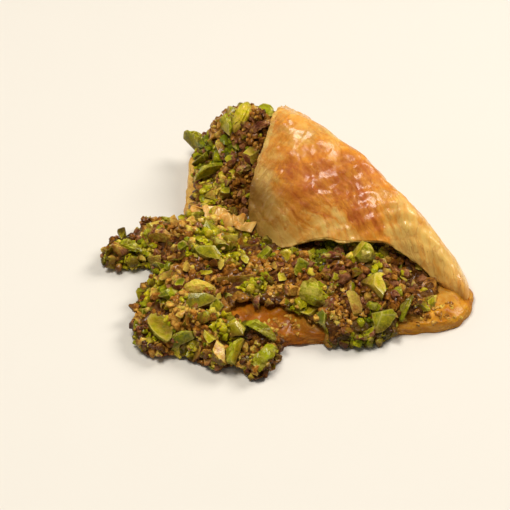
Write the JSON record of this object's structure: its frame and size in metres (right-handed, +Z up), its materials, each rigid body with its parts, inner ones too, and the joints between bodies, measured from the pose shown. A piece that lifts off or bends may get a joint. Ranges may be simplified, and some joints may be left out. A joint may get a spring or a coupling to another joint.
{
  "type": "baklava piece",
  "caption": "Folded baklava piece: a soaked leaf stack with one corner folded over chopped pistachios, open on two sides.",
  "frame": {"origin": "middle of the underside of the bounding box, on the plane the piece rests on", "axes": "+X along the crease from the open end to the closed tip, +Y from the open mouth towards the crease, +Z up"},
  "size_m": [0.1118, 0.0952, 0.0323],
  "materials": {
    "pastry": "baked filo leaves, golden, glossy with syrup",
    "filling": "chopped pistachios soaked in syrup"
  },
  "bodies": {
    "root": {"pastry": "pastry", "filling": "filling"}
  },
  "joints": []
}
